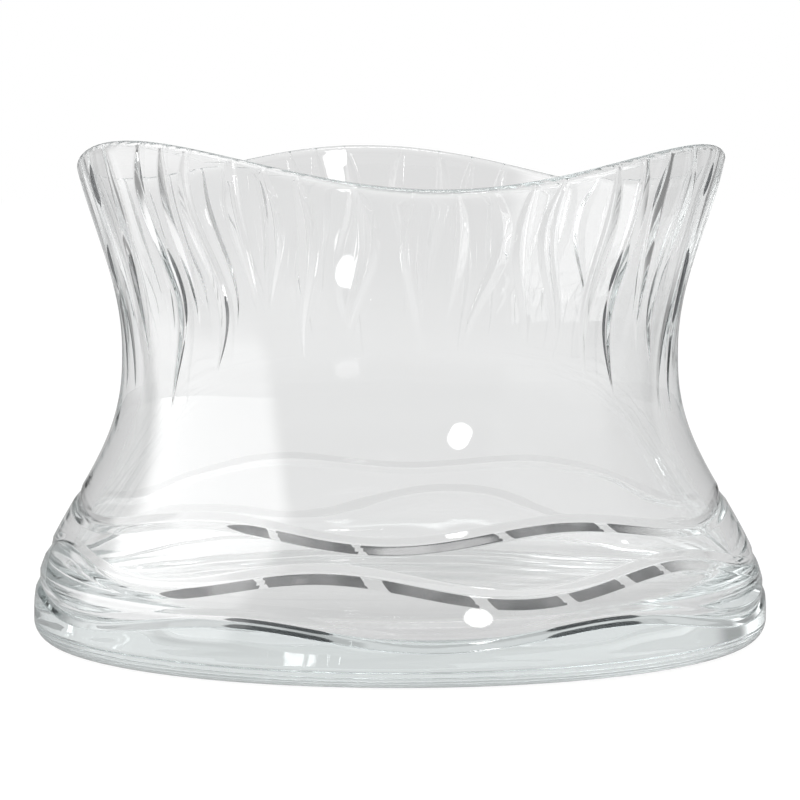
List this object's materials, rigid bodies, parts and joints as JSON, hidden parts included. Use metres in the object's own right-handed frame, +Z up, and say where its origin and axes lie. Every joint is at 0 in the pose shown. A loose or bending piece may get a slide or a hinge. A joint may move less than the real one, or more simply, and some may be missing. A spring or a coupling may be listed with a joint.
{
  "type": "cut crystal bowl",
  "caption": "Heavy clear crystal centre bowl with a flared foot, a drawn-in waist, a wavy lobed rim, wave cuts round the foot and drape cuts hanging from the rim.",
  "frame": {"origin": "middle of the flat underside of the foot, on the surface that the bowl stands on", "axes": "+Z up along the bowl's axis, -Y towards the side seen first, +X to that viewer's right"},
  "size_m": [0.25, 0.25, 0.1688],
  "materials": {
    "crystal": "clear, polished all over, with a very faint cool grey tint where the foot is thickest"
  },
  "bodies": {
    "root": {"bowl": "crystal"}
  },
  "joints": []
}
